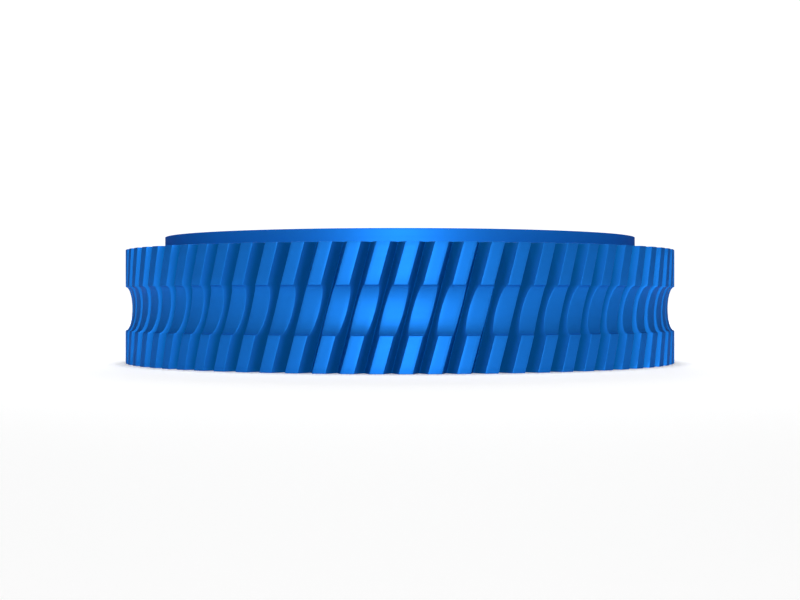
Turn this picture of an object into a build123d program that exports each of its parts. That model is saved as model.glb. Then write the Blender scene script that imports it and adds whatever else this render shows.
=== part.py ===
from build123d import *
import os
from math import cos, pi, radians, tan

# Helical gear in one piece, standing on its flat back face.
# The shaft axis is Z, the back face lies at Z = 0 and the boss is on top.
# Lengths are in millimetres and angles in degrees.

# Teeth, with the right-hand lean measured on the pitch cylinder
teeth = 70
normal_module = 1.0
helix_angle = 15.0

# Tooth form in modules: height above and below the pitch cylinder, and the width
# of the space between two teeth at their tips and at its floor
addendum_factor = 1.0
dedendum_factor = 1.0
tip_gap_factor = 1.755
root_gap_factor = 0.07

# Rim and boss
face_width = 15.1
boss_diameter = 64.0
boss_height = 1.75

# Throat groove round the teeth: a hollow floor between two steep lips,
# centred a little below the middle of the face
floor_width = 5.3
floor_hollow = 0.49
lip_width = 0.25
lip_depth = 0.4
groove_drop = 0.3

# Shaft bore with its keyway, whose depth is taken from the bore's wall
bore_diameter = 20.0
bore_chamfer = 0.5
key_width = 6.0
key_depth = 2.8

# How far a cutter runs on past the metal
overcut = 0.3

# Circles of the teeth in the plane square to the shaft
pitch_radius = teeth * normal_module / cos(radians(helix_angle)) / 2
tip_radius = pitch_radius + addendum_factor * normal_module
root_radius = pitch_radius - dedendum_factor * normal_module

# Section of one tooth space, which opens evenly from its floor to past the tips
tip_half_gap = tip_gap_factor * normal_module / 2
root_half_gap = root_gap_factor * normal_module / 2
flank_slope = (tip_half_gap - root_half_gap) / (tip_radius - root_radius)
cut_radius = tip_radius + overcut
cut_half_gap = tip_half_gap + overcut * flank_slope

# Climb of a tooth along the shaft
lead = 2 * pi * pitch_radius / tan(radians(helix_angle))
turn_per_mm = 360 / lead
cut_start = -overcut
cut_height = face_width + 2 * overcut

# Section of the throat groove
groove_middle = face_width / 2 - groove_drop
lip_low = groove_middle - floor_width / 2 - lip_width
floor_low = groove_middle - floor_width / 2
floor_high = groove_middle + floor_width / 2
lip_high = groove_middle + floor_width / 2 + lip_width
floor_edge_radius = tip_radius - lip_depth
floor_radius = floor_edge_radius - floor_hollow

overall_height = face_width + boss_height
bore_radius = bore_diameter / 2

# One tooth space: its section turns about the shaft as it climbs the face
with BuildPart() as tooth_space:
    with BuildLine() as shaft_line:
        Line((0, 0, cut_start), (0, 0, cut_start + cut_height))
    with BuildLine() as tooth_helix:
        Helix(lead, cut_height, pitch_radius, center=(0, 0, cut_start))
    with BuildSketch(Plane.XY.offset(cut_start).rotated((0, 0, cut_start * turn_per_mm))):
        with BuildLine():
            Polyline(
                (root_radius, -root_half_gap),
                (cut_radius, -cut_half_gap),
                (cut_radius, cut_half_gap),
                (root_radius, root_half_gap),
                close=True,
            )
        make_face()
    sweep(path=shaft_line.line, binormal=tooth_helix.edge())

with BuildPart() as helical_gear:
    # Rim, a plain disc up to the tips
    with BuildSketch():
        Circle(tip_radius)
    extrude(amount=face_width)

    # Throat groove, turned round the rim
    with BuildSketch(Plane.XZ):
        with BuildLine():
            Polyline(
                (floor_edge_radius, floor_low),
                (tip_radius, lip_low),
                (cut_radius, lip_low),
                (cut_radius, lip_high),
                (tip_radius, lip_high),
                (floor_edge_radius, floor_high),
            )
            ThreePointArc(
                (floor_edge_radius, floor_high),
                (floor_radius, groove_middle),
                (floor_edge_radius, floor_low),
            )
        make_face()
    revolve(axis=Axis.Z, mode=Mode.SUBTRACT)

    # Tooth spaces, cut through the rim and across the groove
    with PolarLocations(0, teeth):
        add(tooth_space.part, mode=Mode.SUBTRACT)

    # Boss on the top face
    with BuildSketch(Plane.XY.offset(face_width)):
        Circle(boss_diameter / 2)
    extrude(amount=boss_height)

    # Shaft bore, chamfered at both mouths
    with BuildSketch():
        Circle(bore_radius)
    extrude(amount=overall_height, mode=Mode.SUBTRACT)
    bore_mouths = helical_gear.edges(Select.LAST).filter_by(GeomType.CIRCLE)
    chamfer(bore_mouths, bore_chamfer)

    # Keyway along the X axis, through the whole length of the bore
    with BuildSketch():
        Rectangle(bore_radius + key_depth, key_width, align=(Align.MIN, Align.CENTER))
    extrude(amount=overall_height, mode=Mode.SUBTRACT)

helical_gear.part.label = "helical_gear"

os.makedirs("parts", exist_ok=True)
export_step(helical_gear.part, "parts/helical_gear.step")
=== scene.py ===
from math import asin, atan, atan2, cos, inf, pi, radians, sin, sqrt, tan

import bpy
from bpy.props import FloatProperty, FloatVectorProperty, IntProperty, PointerProperty
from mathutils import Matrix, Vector


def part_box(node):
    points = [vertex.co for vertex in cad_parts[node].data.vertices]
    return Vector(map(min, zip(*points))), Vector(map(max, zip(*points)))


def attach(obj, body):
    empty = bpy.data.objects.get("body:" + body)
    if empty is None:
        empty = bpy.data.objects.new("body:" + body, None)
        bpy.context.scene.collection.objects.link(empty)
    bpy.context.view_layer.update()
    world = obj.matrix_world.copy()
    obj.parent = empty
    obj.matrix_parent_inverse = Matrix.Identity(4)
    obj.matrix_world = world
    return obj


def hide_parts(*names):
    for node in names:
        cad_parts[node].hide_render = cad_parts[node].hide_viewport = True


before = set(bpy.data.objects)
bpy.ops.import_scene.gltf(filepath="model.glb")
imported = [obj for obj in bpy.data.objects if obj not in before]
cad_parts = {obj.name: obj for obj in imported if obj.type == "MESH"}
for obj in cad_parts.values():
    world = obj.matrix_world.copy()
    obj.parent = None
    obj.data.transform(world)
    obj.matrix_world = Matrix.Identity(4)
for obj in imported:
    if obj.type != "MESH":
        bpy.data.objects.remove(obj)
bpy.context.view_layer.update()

bl_info = {
    "name": "Helical Gear",
    "version": (1, 0, 0),
    "blender": (4, 5, 0),
    "location": "3D View > Sidebar > Gear",
    "description": "Builds a one-piece blue nylon helical gear on its frame, and a pale studio round it",
    "category": "Add Mesh",
}

# The gear stands on its flat back face at Z = 0, with its shaft along Z and its keyway at +X.
FRAME_LOW, FRAME_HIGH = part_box("helical_gear")

# How finely the gear's mesh is cut
ROUND_STEPS = 3
LAND_STEPS = 2
FLANK_STEPS = 4
PLAIN_STEPS = 4
THROAT_STEPS = 18
KEYWAY_STEPS = 3
BORE_STEPS = 72
BOSS_STEPS = 360
SHARP_ANGLE = radians(34)

# The paper, whose bend takes the outer part of its radius
PAPER_TURN_STEPS = 96
PAPER_BEND_STEPS = 12
PAPER_FLOOR_SHARES = (0.05, 0.1, 0.2, 0.4, 0.6)
PAPER_BEND_SHARE = 0.25
PAPER_WALL_SHARE = 0.5
PAPER_DROP = 0.00002

# Distances from the gear at which the paper's glow starts to change and is that of the far paper
NEAR_GLOW_END = 0.08
FAR_GLOW_START = 0.36

# Rings that turning leaves: how unevenly they run round, where the broad ones start to fade towards the
# floors of the tooth spaces, and the part of their noise that is spread over the whole range
RING_DRIFT = 0.5
BAND_DRIFT = 0.3
BAND_END_SHARE = 0.97
BAND_LOW, BAND_HIGH = 0.36, 0.64

# How strongly each mark shows in the tone of the nylon, in its roughness and in the height of its surface
TONE_SPREAD = 0.12
CLOUD_TONE, BAND_TONE, RING_TONE, EDGE_TONE = 0.35, 0.4, 0.25, 0.6
CLOUD_ROUGH, BAND_ROUGH, RING_ROUGH, EDGE_ROUGH = 0.08, 0.06, 0.08, 0.06
RING_HEIGHT, BAND_HEIGHT, GRAIN_HEIGHT = 0.5, 0.15, 0.2

# Painted shade in the tooth spaces, a darker blue that stands in for the shade of their flanks and floors:
# the depth in a tooth space from which it is full, its cover and how patchy that is
SHADE_FULL_DEPTH = 0.6
SHADE_COVER, SHADE_PATCHES = 0.8, 0.4


# Sizes and colours that a user would change


class GearSizes(bpy.types.PropertyGroup):
    """Sizes of the gear"""

    teeth: IntProperty(name="Teeth", description="Number of teeth", default=70, min=12)
    helix: FloatProperty(
        name="Helix angle",
        description="Right-hand lean of the teeth on the pitch cylinder",
        default=radians(15),
        subtype="ANGLE",
    )
    tip_radius: FloatProperty(
        name="Tip radius",
        description="Radius over the tooth tips",
        default=(FRAME_HIGH.x - FRAME_LOW.x) / 2,
        unit="LENGTH",
        precision=6,
    )
    tooth_depth: FloatProperty(
        name="Tooth depth", description="From tip to floor", default=0.002, unit="LENGTH", precision=6
    )
    tip_gap: FloatProperty(
        name="Gap at the tips",
        description="Width of a tooth space at the tip cylinder",
        default=0.001755,
        unit="LENGTH",
        precision=6,
    )
    root_gap: FloatProperty(
        name="Gap at the floor",
        description="Width of a tooth space at its floor, before the floor is rounded",
        default=0.00002,
        unit="LENGTH",
        precision=6,
    )
    face_width: FloatProperty(
        name="Face width", description="Height of the teeth", default=0.0151, unit="LENGTH", precision=6
    )
    throat_width: FloatProperty(
        name="Throat width",
        description="Height of the groove turned round the teeth",
        default=0.0058,
        unit="LENGTH",
        precision=6,
    )
    throat_depth: FloatProperty(
        name="Throat depth", description="Depth of that groove", default=0.00089, unit="LENGTH", precision=6
    )
    throat_drop: FloatProperty(
        name="Throat drop",
        description="How far the groove lies below the middle of the face",
        default=0.0003,
        unit="LENGTH",
        precision=6,
    )
    boss_radius: FloatProperty(
        name="Boss radius", description="Radius of the round boss", default=0.032, unit="LENGTH", precision=6
    )
    height: FloatProperty(
        name="Overall height",
        description="From the back face to the top of the boss",
        default=FRAME_HIGH.z - FRAME_LOW.z,
        unit="LENGTH",
        precision=6,
    )
    bore_radius: FloatProperty(
        name="Bore radius", description="Radius of the shaft bore", default=0.01, unit="LENGTH", precision=6
    )
    bore_chamfer: FloatProperty(
        name="Bore chamfer", description="Chamfer at both mouths", default=0.0005, unit="LENGTH", precision=6
    )
    key_width: FloatProperty(
        name="Keyway width", description="Width of the keyway", default=0.006, unit="LENGTH", precision=6
    )
    key_depth: FloatProperty(
        name="Keyway depth",
        description="Depth of the keyway from the wall of the bore",
        default=0.0028,
        unit="LENGTH",
        precision=6,
    )
    tip_round: FloatProperty(
        name="Tip rounding",
        description="Radius along the tips of the teeth",
        default=0.00005,
        unit="LENGTH",
        precision=6,
    )
    edge_round: FloatProperty(
        name="Edge rounding",
        description="Radius along the faces, the throat and the boss",
        default=0.00004,
        unit="LENGTH",
        precision=6,
    )


class GearFinish(bpy.types.PropertyGroup):
    """Colours and gloss of the nylon"""

    blue: FloatVectorProperty(
        name="Nylon blue",
        description="Colour of the nylon",
        subtype="COLOR",
        default=(0.009, 0.158, 0.58),
        min=0,
        max=1,
    )
    bare_blue: FloatVectorProperty(
        name="Cut blue",
        description="Colour where the cutter ran over an edge",
        subtype="COLOR",
        default=(0.011, 0.174, 0.62),
        min=0,
        max=1,
    )
    # Painted shade: a darker blue laid on the flanks and floors of the tooth spaces to stand in for their
    # shade
    space_shade_blue: FloatVectorProperty(
        name="Shade blue",
        description="Colour at the floors of the tooth spaces, under a film of hobbing oil",
        subtype="COLOR",
        default=(0.002, 0.117, 0.37),
        min=0,
        max=1,
    )
    gloss_blue: FloatVectorProperty(
        name="Gloss blue",
        description="Tint of the gloss",
        subtype="COLOR",
        default=(0.05, 0.2, 0.5),
        min=0,
        max=1,
    )
    gloss: FloatProperty(
        name="Gloss", description="Strength of the clear gloss over the colour", default=0.06, min=0, max=1
    )
    roughness: FloatProperty(
        name="Roughness",
        description="Roughness of the turned faces",
        default=0.54,
        subtype="FACTOR",
        min=0,
        max=1,
    )
    pearl: FloatProperty(
        name="Pearl",
        description="Share of the colour that comes from blue pearl pigment",
        default=0.52,
        subtype="FACTOR",
        min=0,
        max=1,
    )
    turning_pitch: FloatProperty(
        name="Turning pitch",
        description="Spacing of the fine rings that the turning tool leaves",
        default=0.00022,
        unit="LENGTH",
        precision=6,
    )


class StudioLook(bpy.types.PropertyGroup):
    """Paper, lamps and camera"""

    paper: FloatVectorProperty(
        name="Paper",
        description="Colour of the paper sweep",
        subtype="COLOR",
        default=(0.75, 0.75, 0.75),
        min=0,
        max=1,
    )
    near_glow: FloatProperty(
        name="Near paper",
        description="How white the paper round the gear shows, on top of the light of the lamps",
        default=0.4,
        min=0,
        max=1,
    )
    far_glow: FloatProperty(
        name="Far paper",
        description="How white the far paper shows, which the lamps hardly reach",
        default=0.98,
        min=0,
        max=1,
    )
    mirrored_glow: FloatProperty(
        name="Paper in reflections",
        description="How white the paper shows in the gloss of the gear",
        default=0.15,
        min=0,
        max=1,
    )
    paper_radius: FloatProperty(
        name="Paper radius", description="Radius of the paper floor", default=1.2, unit="LENGTH"
    )
    front_power: FloatProperty(
        name="Front softbox", description="Power of the softbox beside the camera", default=1.0, unit="POWER"
    )
    back_power: FloatProperty(
        name="Back softbox", description="Power of the softbox behind the gear", default=0.85, unit="POWER"
    )
    top_power: FloatProperty(
        name="Top softbox", description="Power of the softbox above the gear", default=0.2, unit="POWER"
    )
    room_light: FloatProperty(
        name="Room light", description="Strength of the even light of the room", default=0.03, min=0, max=1
    )
    camera_distance: FloatProperty(
        name="Camera distance", description="From the shaft axis", default=0.20802, unit="LENGTH", precision=5
    )
    camera_turn: FloatProperty(
        name="Camera turn",
        description="Direction of the camera round the shaft, from +X",
        default=radians(-90.976),
        subtype="ANGLE",
    )
    lens: FloatProperty(
        name="Lens", description="Focal length on a 36 mm wide sensor", default=67.87, unit="CAMERA"
    )


# Shader values


class Wire:
    """A shader value that Python's own signs work on: each sign adds its Math node."""

    def __init__(self, board, socket):
        self.board = board
        self.socket = socket

    def output(self, name):
        """Another output of the same node."""
        return Wire(self.board, self.socket.node.outputs[name])

    def _maths(self, operation, *values):
        return self.board.add("ShaderNodeMath", {"operation": operation}, *values)

    def __add__(self, other):
        return self._maths("ADD", self, other)

    def __radd__(self, other):
        return self._maths("ADD", other, self)

    def __sub__(self, other):
        return self._maths("SUBTRACT", self, other)

    def __rsub__(self, other):
        return self._maths("SUBTRACT", other, self)

    def __mul__(self, other):
        return self._maths("MULTIPLY", self, other)

    def __rmul__(self, other):
        return self._maths("MULTIPLY", other, self)

    def __truediv__(self, other):
        return self._maths("DIVIDE", self, other)

    def __rtruediv__(self, other):
        return self._maths("DIVIDE", other, self)

    def __pow__(self, other):
        return self._maths("POWER", self, other)

    def __rpow__(self, other):
        return self._maths("POWER", other, self)


class Board:
    """The node tree of one finish."""

    def __init__(self, name):
        self.material = bpy.data.materials.new(name)
        self.material.use_nodes = True
        self.tree = self.material.node_tree
        self.tree.nodes.clear()

    def add(self, kind, settings, *values, out=0, **named):
        """Adds a node. Its settings come first, then the values or wires of its sockets.

        The wire that it gives is on the node's output of this number or name.
        """
        node = self.tree.nodes.new(kind)
        for key, value in settings.items():
            setattr(node, key, value)
        for place, value in enumerate(values):
            self.plug(node.inputs[place], value)
        for name, value in named.items():
            self.plug(node.inputs[name.replace("_", " ")], value)
        return Wire(self, node.outputs[out]) if node.outputs else node

    def plug(self, socket, value):
        """Links a wire to a socket, or sets a plain value on it."""
        if isinstance(value, Wire):
            self.tree.links.new(value.socket, socket)
        else:
            socket.default_value = value

    def smooth_step(self, value, start, end):
        """0 up to start and 1 from end on, with a soft rise between them."""
        return self.add("ShaderNodeMapRange", {"interpolation_type": "SMOOTHSTEP"}, value, start, end)

    def blend(self, share, first, second):
        """Colour between first and second. A Mix node's colours are its inputs 6 and 7 and its output 2."""
        node = self.tree.nodes.new("ShaderNodeMix")
        node.data_type = "RGBA"
        self.plug(node.inputs[0], share)
        self.plug(node.inputs[6], first)
        self.plug(node.inputs[7], second)
        return Wire(self, node.outputs[2])


def rgba(colour):
    """A colour with its full cover added, as a shader socket takes it."""
    return (*colour, 1.0)


def turned_nylon(finish, floor_radius):
    """Solid blue nylon, cut on a lathe and a hobbing machine, whose tooth spaces reach in to floor_radius."""
    board = Board("turned_nylon")
    place = board.add("ShaderNodeTexCoord", {}, out="Object")
    x = board.add("ShaderNodeSeparateXYZ", {}, place)
    y = x.output("Y")
    z = x.output("Z")
    out_from_shaft = (x * x + y * y) ** 0.5
    round_x = x / out_from_shaft
    round_y = y / out_from_shaft

    # Fine rings that the turning tool leaves on the faces, the boss, the tips and the throat.
    # They fade in and out a little on their way round.
    step = 1 / finish.turning_pitch
    ring_place = board.add(
        "ShaderNodeCombineXYZ", {}, out_from_shaft * step, z * step, round_x * RING_DRIFT
    )
    rings = board.add(
        "ShaderNodeTexNoise",
        {"noise_dimensions": "4D"},
        Vector=ring_place,
        W=round_y * RING_DRIFT,
        Scale=0.5,
        Detail=2.0,
        Roughness=0.55,
    )

    # Broader rings where the tool was fed in across the flat faces, which end at the teeth
    band_place = board.add(
        "ShaderNodeCombineXYZ", {}, out_from_shaft * step, round_x * BAND_DRIFT, round_y * BAND_DRIFT
    )
    facing = board.add("ShaderNodeTexNoise", {}, Vector=band_place, Scale=0.17, Detail=2.0, Roughness=0.6)
    rim = board.smooth_step(out_from_shaft, floor_radius * BAND_END_SHARE, floor_radius)
    bands = (board.smooth_step(facing, BAND_LOW, BAND_HIGH) - 0.5) * (1 - rim)

    # Cloudy tone of cast nylon, and its fine grain
    clouds = board.add("ShaderNodeTexNoise", {}, Vector=place, Scale=95.0, Detail=3.0, Roughness=0.5)
    grain = board.add("ShaderNodeTexNoise", {}, Vector=place, Scale=5200.0, Detail=2.0, Roughness=0.6)
    deep = tuple(c * (1 - TONE_SPREAD) for c in finish.blue)
    pale = tuple(min(1.0, c * (1 + TONE_SPREAD)) for c in finish.blue)
    paleness = clouds * CLOUD_TONE + (bands + 0.5) * BAND_TONE + rings * RING_TONE
    tone = board.blend(paleness, rgba(deep), rgba(pale))

    # Edges that the cutter ran over are paler and smoother
    edge = board.add("ShaderNodeAttribute", {"attribute_name": "cut_edge"}, out="Fac")
    tone = board.blend(edge * EDGE_TONE, tone, rgba(finish.bare_blue))

    # Painted shade: a darker blue on the flanks and floors of the tooth spaces, fuller deeper down and patchy
    # with the clouds, that stands in for their shade
    depth = board.add("ShaderNodeAttribute", {"attribute_name": "space_depth"}, out="Fac")
    space_shade = board.smooth_step(depth, 0.0, SHADE_FULL_DEPTH) * (SHADE_COVER + clouds * SHADE_PATCHES)
    tone = board.blend(space_shade, tone, rgba(finish.space_shade_blue))

    unevenness = (clouds - 0.5) * CLOUD_ROUGH + bands * BAND_ROUGH + (rings - 0.5) * RING_ROUGH
    rough = finish.roughness + unevenness - edge * EDGE_ROUGH
    height = rings * RING_HEIGHT + bands * BAND_HEIGHT + grain * GRAIN_HEIGHT
    normal = board.add("ShaderNodeBump", {}, Strength=0.3, Distance=0.00005, Height=height)
    surface = board.add(
        "ShaderNodeBsdfPrincipled",
        {},
        Base_Color=tone,
        Metallic=finish.pearl,
        Roughness=rough,
        IOR=1.53,
        Specular_IOR_Level=finish.gloss,
        Specular_Tint=rgba(finish.gloss_blue),
        Normal=normal,
    )
    board.add("ShaderNodeOutputMaterial", {}, surface)
    return board.material


def sweep_paper(look):
    """Matt studio paper that shows white to the camera and, more weakly, in reflections."""
    board = Board("sweep_paper")
    place = board.add("ShaderNodeTexCoord", {}, out="Object")
    away = board.add("ShaderNodeVectorMath", {"operation": "LENGTH"}, place, out="Value")
    far = board.smooth_step(away, NEAR_GLOW_END, FAR_GLOW_START)
    to_camera = board.add("ShaderNodeLightPath", {}, out="Is Camera Ray")
    mirrored = to_camera.output("Is Glossy Ray")
    through = to_camera.output("Is Transmission Ray")
    direct = (to_camera + through) * (look.near_glow + far * (look.far_glow - look.near_glow))
    seen = direct + mirrored * look.mirrored_glow
    glow = board.blend(seen, (0, 0, 0, 1), (1, 1, 1, 1))
    surface = board.add(
        "ShaderNodeBsdfPrincipled",
        {},
        Base_Color=rgba(look.paper),
        Roughness=0.9,
        Specular_IOR_Level=0.1,
        Emission_Color=glow,
        Emission_Strength=1.0,
    )
    board.add("ShaderNodeOutputMaterial", {}, surface)
    return board.material


# Shapes


def about_shaft(radius, angle, height):
    """The point at this radius from the shaft, this far round it and this far up."""
    return (radius * cos(angle), radius * sin(angle), height)


def quarter_round():
    """Turns along a quarter round, each with its share of cut edge."""
    turns = [i / ROUND_STEPS * pi / 2 for i in range(ROUND_STEPS + 1)]
    return [(turn, 1.0 if 0 < turn < pi / 2 else 0.0) for turn in turns]


def tooth_half(sizes, land_radius, inset):
    """Outline from the middle of a tooth space to the middle of the next land.

    Its points are (radius, angle, edge, depth), and depth runs from 0 at the land to 1 at the floor of the
    space. The outline lies inset inside the full one, and its tooth is topped at land_radius.
    """
    half_pitch = pi / sizes.teeth
    floor_radius = sizes.tip_radius - sizes.tooth_depth
    half_floor = sizes.root_gap / 2
    slope = (sizes.tip_gap - sizes.root_gap) / 2 / sizes.tooth_depth
    lean = atan(slope)
    along = Vector((cos(lean), sin(lean)))
    into_tooth = Vector((-sin(lean), cos(lean)))

    # Rounded floor between the two flanks
    apex = floor_radius - half_floor / slope
    floor_round = (half_floor / slope) / (1 / sin(lean) - 1)
    floor_middle = Vector((apex + floor_round / sin(lean), 0))
    points = []
    for i in range(ROUND_STEPS + 1):
        turn = pi - i / ROUND_STEPS * (pi / 2 - lean)
        point = floor_middle + (floor_round + inset) * Vector((cos(turn), sin(turn)))
        points.append((point, 0.0, 1.0))

    # Rounded corner between the flank and the land
    start = Vector((floor_radius, half_floor)) + into_tooth * sizes.tip_round
    reach = along.dot(start)
    corner_radius = land_radius - sizes.tip_round
    corner = start + along * (sqrt(reach * reach - start.length_squared + corner_radius**2) - reach)
    corner_round = sizes.tip_round - inset
    flank_foot = points[-1][0]
    flank_top = corner - into_tooth * corner_round
    for i in range(1, FLANK_STEPS):
        share = i / FLANK_STEPS
        points.append((flank_foot.lerp(flank_top, share), 0.0, 1.0 - share))
    first = atan2(-into_tooth.y, -into_tooth.x)
    last = atan2(corner.y, corner.x)
    for i in range(ROUND_STEPS + 1):
        turn = first + i / ROUND_STEPS * (last - first)
        point = corner + corner_round * Vector((cos(turn), sin(turn)))
        points.append((point, 1.0 if 0 < i < ROUND_STEPS else 0.0, 0.0))
    outline = [(point.length, atan2(point.y, point.x), edge, depth) for point, edge, depth in points]

    # Land on the tip cylinder or the throat
    for i in range(1, LAND_STEPS + 1):
        outline.append((land_radius - inset, last + i / LAND_STEPS * (half_pitch - last), 0.0, 0.0))
    return outline


def rim_rows(sizes):
    """Rows of the rim from the back face up, as (height, land radius, inset, edge)."""
    edge_round = sizes.edge_round
    top = sizes.face_width
    tip = sizes.tip_radius
    middle = sizes.face_width / 2 - sizes.throat_drop
    half = sizes.throat_width / 2
    lead_in = asin(edge_round / sizes.throat_depth)
    lip = half * cos(lead_in)
    low, below = edge_round, middle - lip - edge_round
    above, high = middle + lip + edge_round, top - edge_round

    # Back face edge, plain teeth and lower lip of the throat
    rows = []
    for turn, edge in quarter_round():
        rows.append((edge_round * (1 - cos(turn)), tip, edge_round * (1 - sin(turn)), edge))
    rows += [(low + (below - low) * i / PLAIN_STEPS, tip, 0.0, 0.0) for i in range(1, PLAIN_STEPS)]
    for turn, edge in quarter_round():
        rows.append((below + edge_round * sin(turn), tip - edge_round * (1 - cos(turn)), 0.0, edge))

    # Throat, a half ellipse
    for i in range(1, THROAT_STEPS):
        turn = lead_in + (pi - 2 * lead_in) * i / THROAT_STEPS
        rows.append((middle - half * cos(turn), tip - sizes.throat_depth * sin(turn), 0.0, 0.0))

    # Upper lip of the throat, plain teeth and top face edge
    for turn, edge in reversed(quarter_round()):
        rows.append((above - edge_round * sin(turn), tip - edge_round * (1 - cos(turn)), 0.0, edge))
    rows += [(above + (high - above) * i / PLAIN_STEPS, tip, 0.0, 0.0) for i in range(1, PLAIN_STEPS)]
    for turn, edge in reversed(quarter_round()):
        rows.append((top - edge_round * (1 - cos(turn)), tip, edge_round * (1 - sin(turn)), edge))
    return rows


class Shell:
    """Points and faces of the gear as they are laid down.

    Each point has its share of cut edge and its depth in a tooth space; the depth sets the painted shade of
    the tooth spaces. The last faces, the flat ones from the number kept below on, get no painted shade.
    """

    def __init__(self):
        self.points = []
        self.faces = []
        self.edges = []
        self.depths = []
        self.shade_free_from = 0

    def ring(self, places, edges=None, depths=None):
        """Adds a closed ring of points and gives their numbers."""
        start = len(self.points)
        self.points += places
        self.edges += edges or [0.0] * len(places)
        self.depths += depths or [0.0] * len(places)
        return list(range(start, len(self.points)))

    def wall(self, lower, upper):
        """Joins two rings of the same count, with its outside away from the shaft."""
        count = len(lower)
        for i in range(count):
            following = (i + 1) % count
            self.faces.append((lower[i], lower[following], upper[following], upper[i]))

    def flat_face(self, outer, inner, up):
        """Joins two rings of any count in one plane, by their angles round the shaft."""

        def from_first_angle(ring):
            """The ring from its smallest angle right round to it again, with the angles."""
            angles = [atan2(self.points[v][1], self.points[v][0]) % (2 * pi) for v in ring]
            start = angles.index(min(angles))
            turned = ring[start:] + ring[:start]
            angles = angles[start:] + angles[:start]
            return turned + [turned[0]], angles + [angles[0] + 2 * pi]

        outer, outer_angles = from_first_angle(outer)
        inner, inner_angles = from_first_angle(inner)
        outer_angles.append(inf)
        inner_angles.append(inf)
        i = j = 0
        while i < len(outer) - 1 or j < len(inner) - 1:
            if outer_angles[i + 1] <= inner_angles[j + 1]:
                face = (outer[i], outer[i + 1], inner[j])
                i += 1
            else:
                face = (outer[i], inner[j + 1], inner[j])
                j += 1
            self.faces.append(face if up else face[::-1])


def circle(radius, height, count):
    """A ring of points round the shaft."""
    return [about_shaft(radius, 2 * pi * i / count, height) for i in range(count)]


def bore_ring(sizes, radius, height):
    """Outline of the bore with its keyway, anticlockwise from the keyway's middle."""
    half_key = sizes.key_width / 2
    key_end = sizes.bore_radius + sizes.key_depth
    edge_turn = asin(half_key / radius)
    half = [(key_end, 0.0), (key_end, half_key / 2), (key_end, half_key)]
    mouth = radius * cos(edge_turn)
    for i in range(1, KEYWAY_STEPS + 1):
        half.append((key_end + (mouth - key_end) * i / KEYWAY_STEPS, half_key))
    for i in range(1, BORE_STEPS + 1):
        turn = edge_turn + (pi - edge_turn) * i / BORE_STEPS
        half.append((radius * cos(turn), radius * sin(turn)))
    other = [(x, -y) for x, y in half[-2:0:-1]]
    return [(x, y, height) for x, y in half + other]


def gear_shell(sizes):
    """The whole gear: its rim row by row, the boss, the bore and the flat faces between them."""
    shell = Shell()
    pitch = 2 * pi / sizes.teeth
    pitch_radius = sizes.tip_radius - sizes.tooth_depth / 2
    climb = tan(sizes.helix) / pitch_radius

    # Rim with its teeth, row by row
    rows = []
    for height, land_radius, inset, row_edge in rim_rows(sizes):
        half = tooth_half(sizes, land_radius, inset)
        other_half = [(radius, -angle, edge, depth) for radius, angle, edge, depth in half[:0:-1]]
        section = (other_half + half)[1:]
        places, edges, depths = [], [], []
        for tooth in range(sizes.teeth):
            for radius, angle, edge, depth in section:
                places.append(about_shaft(radius, angle + tooth * pitch + climb * height, height))
                edges.append(max(edge, row_edge))
                depths.append(depth)
        rows.append(shell.ring(places, edges, depths))
    for lower, upper in zip(rows, rows[1:]):
        shell.wall(lower, upper)

    # Boss
    edge_round = sizes.edge_round
    boss = [shell.ring(circle(sizes.boss_radius, sizes.face_width, BOSS_STEPS))]
    for turn, edge in quarter_round():
        radius = sizes.boss_radius - edge_round * (1 - cos(turn))
        height = sizes.height - edge_round * (1 - sin(turn))
        boss.append(shell.ring(circle(radius, height, BOSS_STEPS), [edge] * BOSS_STEPS))
    for lower, upper in zip(boss, boss[1:]):
        shell.wall(lower, upper)

    # Bore, whose outside faces the shaft
    chamfer = sizes.bore_chamfer
    bore = [
        shell.ring(bore_ring(sizes, sizes.bore_radius + chamfer, 0.0)),
        shell.ring(bore_ring(sizes, sizes.bore_radius, chamfer)),
        shell.ring(bore_ring(sizes, sizes.bore_radius, sizes.height - chamfer)),
        shell.ring(bore_ring(sizes, sizes.bore_radius + chamfer, sizes.height)),
    ]
    for lower, upper in zip(bore, bore[1:]):
        shell.wall(upper, lower)

    # Flat faces, which get no painted shade
    shell.shade_free_from = len(shell.faces)
    shell.flat_face(rows[-1], boss[0], up=True)
    shell.flat_face(boss[-1], bore[-1], up=True)
    shell.flat_face(rows[0], bore[0], up=False)
    return shell


def sheet_of_paper(look):
    """A round floor that curves up into a low wall, turned round the shaft axis."""
    radius = look.paper_radius
    bend = radius * PAPER_BEND_SHARE
    flat = radius - bend
    profile = [(radius * share, 0.0) for share in PAPER_FLOOR_SHARES]
    profile.append((flat, 0.0))
    for i in range(1, PAPER_BEND_STEPS + 1):
        turn = i / PAPER_BEND_STEPS * pi / 2
        profile.append((flat + bend * sin(turn), bend * (1 - cos(turn))))
    profile.append((radius, radius * PAPER_WALL_SHARE))

    count = PAPER_TURN_STEPS
    points = [(0.0, 0.0, 0.0)]
    for row_radius, height in profile:
        points += circle(row_radius, height, count)
    faces = [(0, 1 + i, 1 + (i + 1) % count) for i in range(count)]
    for row in range(len(profile) - 1):
        near, far = 1 + row * count, 1 + (row + 1) * count
        for i in range(count):
            following = (i + 1) % count
            faces.append((near + i, far + i, far + following, near + following))
    return points, faces


def place_mesh(name, points, faces, material):
    """Makes a smooth-shaded object and puts it in the scene."""
    mesh = bpy.data.meshes.new(name)
    mesh.from_pydata(points, [], faces)
    mesh.materials.append(material)
    mesh.shade_smooth()
    mesh.validate()
    piece = bpy.data.objects.new(name, mesh)
    bpy.context.scene.collection.objects.link(piece)
    return piece


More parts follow.
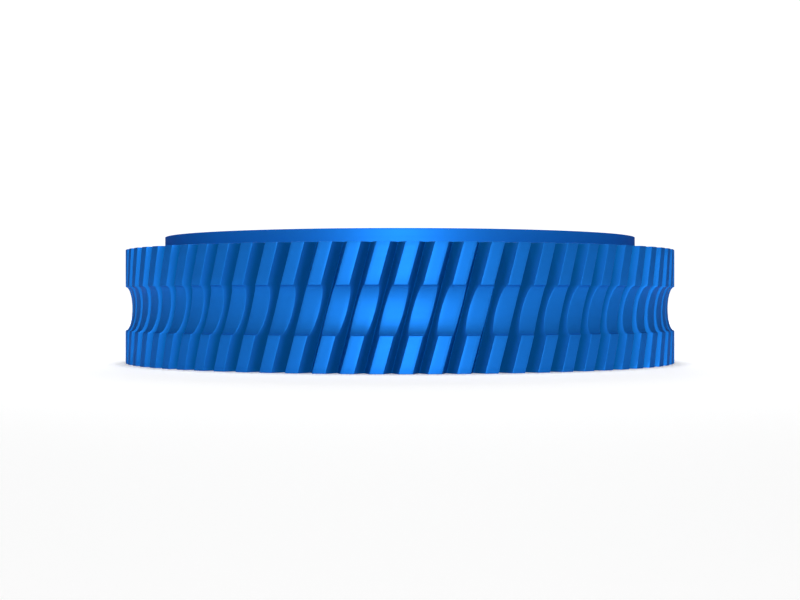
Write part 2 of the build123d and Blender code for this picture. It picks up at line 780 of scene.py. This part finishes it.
def hang_softbox(name, place, aim, size, power, spread):
    """Hangs an area lamp that the camera doesn't see."""
    lamp = bpy.data.lights.new(name, "AREA")
    lamp.shape = "RECTANGLE"
    lamp.size, lamp.size_y = size
    lamp.energy = power
    lamp.spread = spread
    softbox = bpy.data.objects.new(name, lamp)
    softbox.location = place
    softbox.rotation_euler = (Vector(aim) - Vector(place)).to_track_quat("-Z", "Y").to_euler()
    softbox.visible_camera = False
    bpy.context.scene.collection.objects.link(softbox)


# Tools


class GEAR_OT_cut_gear(bpy.types.Operator):
    """Cut the gear: its rim with the helical teeth and the throat, the boss and the keyed bore"""

    bl_idname = "gear.cut_gear"
    bl_label = "Cut the Gear"

    def execute(self, context):
        sizes = context.scene.gear_sizes
        shell = gear_shell(sizes)
        nylon = turned_nylon(context.scene.gear_finish, sizes.tip_radius - sizes.tooth_depth)
        gear = place_mesh("gear_body", shell.points, shell.faces, nylon)
        # Depth in the tooth spaces, per face corner, sets the painted shade there; the flat faces get none
        corner_depths = []
        for i, face in enumerate(shell.faces):
            corner_depths += [shell.depths[v] if i < shell.shade_free_from else 0.0 for v in face]
        for name, domain, values in (
            ("cut_edge", "POINT", shell.edges),
            ("space_depth", "CORNER", corner_depths),
        ):
            layer = gear.data.attributes.new(name, "FLOAT", domain)
            layer.data.foreach_set("value", values)
        gear.data.set_sharp_from_angle(angle=SHARP_ANGLE)
        flatten = gear.modifiers.new("flat_faces_stay_flat", "WEIGHTED_NORMAL")
        flatten.keep_sharp = True
        flatten.weight = 70
        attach(gear, "root")
        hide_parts("helical_gear")
        return {"FINISHED"}


class GEAR_OT_set_studio(bpy.types.Operator):
    """Set the studio: paper sweep, softboxes, room light and camera"""

    bl_idname = "gear.set_studio"
    bl_label = "Set the Studio"

    def execute(self, context):
        scene = context.scene
        look = scene.studio_look
        points, faces = sheet_of_paper(look)
        paper = place_mesh("paper_sweep", points, faces, sweep_paper(look))
        paper.location.z = -PAPER_DROP

        toward_camera = Vector((cos(look.camera_turn), sin(look.camera_turn), 0))
        middle = Vector((0, 0, scene.gear_sizes.height / 2))
        hang_softbox(
            "front_softbox",
            place=toward_camera * 1.0 + Vector((0, 0, 0.075)),
            aim=middle,
            size=(0.2, 0.13),
            power=look.front_power,
            spread=radians(60),
        )
        hang_softbox(
            "back_softbox",
            place=toward_camera * -0.55 + Vector((0, 0, 0.3)),
            aim=middle,
            size=(0.3, 0.3),
            power=look.back_power,
            spread=radians(120),
        )
        hang_softbox(
            "top_softbox",
            place=(0, 0, 0.45),
            aim=middle,
            size=(0.12, 0.12),
            power=look.top_power,
            spread=radians(70),
        )

        world = bpy.data.worlds.new("room")
        world.use_nodes = True
        shade = world.node_tree.nodes["Background"]
        shade.inputs["Color"].default_value = (1, 1, 1, 1)
        shade.inputs["Strength"].default_value = look.room_light
        scene.world = world

        lens = bpy.data.cameras.new("camera")
        lens.lens = look.lens
        lens.sensor_width = 36
        lens.clip_start = 0.005
        camera = bpy.data.objects.new("camera", lens)
        camera.location = toward_camera * look.camera_distance + middle
        camera.rotation_euler = (-toward_camera).to_track_quat("-Z", "Y").to_euler()
        scene.collection.objects.link(camera)
        scene.camera = camera

        scene.view_settings.view_transform = "Standard"
        return {"FINISHED"}


class GEAR_PT_sidebar(bpy.types.Panel):
    """Sizes, finish and studio of the gear"""

    bl_idname = "GEAR_PT_sidebar"
    bl_label = "Helical Gear"
    bl_space_type = "VIEW_3D"
    bl_region_type = "UI"
    bl_category = "Gear"

    def draw(self, context):
        layout = self.layout
        scene = context.scene
        for tool, group in (
            (GEAR_OT_cut_gear, (scene.gear_sizes, scene.gear_finish)),
            (GEAR_OT_set_studio, (scene.studio_look,)),
        ):
            box = layout.box()
            for holder in group:
                for key in holder.__annotations__:
                    box.prop(holder, key)
            box.operator(tool.bl_idname)


CLASSES = (GearSizes, GearFinish, StudioLook, GEAR_OT_cut_gear, GEAR_OT_set_studio, GEAR_PT_sidebar)


def register():
    for item in CLASSES:
        bpy.utils.register_class(item)
    bpy.types.Scene.gear_sizes = PointerProperty(type=GearSizes)
    bpy.types.Scene.gear_finish = PointerProperty(type=GearFinish)
    bpy.types.Scene.studio_look = PointerProperty(type=StudioLook)


def unregister():
    del bpy.types.Scene.studio_look
    del bpy.types.Scene.gear_finish
    del bpy.types.Scene.gear_sizes
    for item in reversed(CLASSES):
        bpy.utils.unregister_class(item)


def main():
    register()
    bpy.ops.gear.cut_gear()
    bpy.ops.gear.set_studio()


if __name__ == "__main__":
    main()
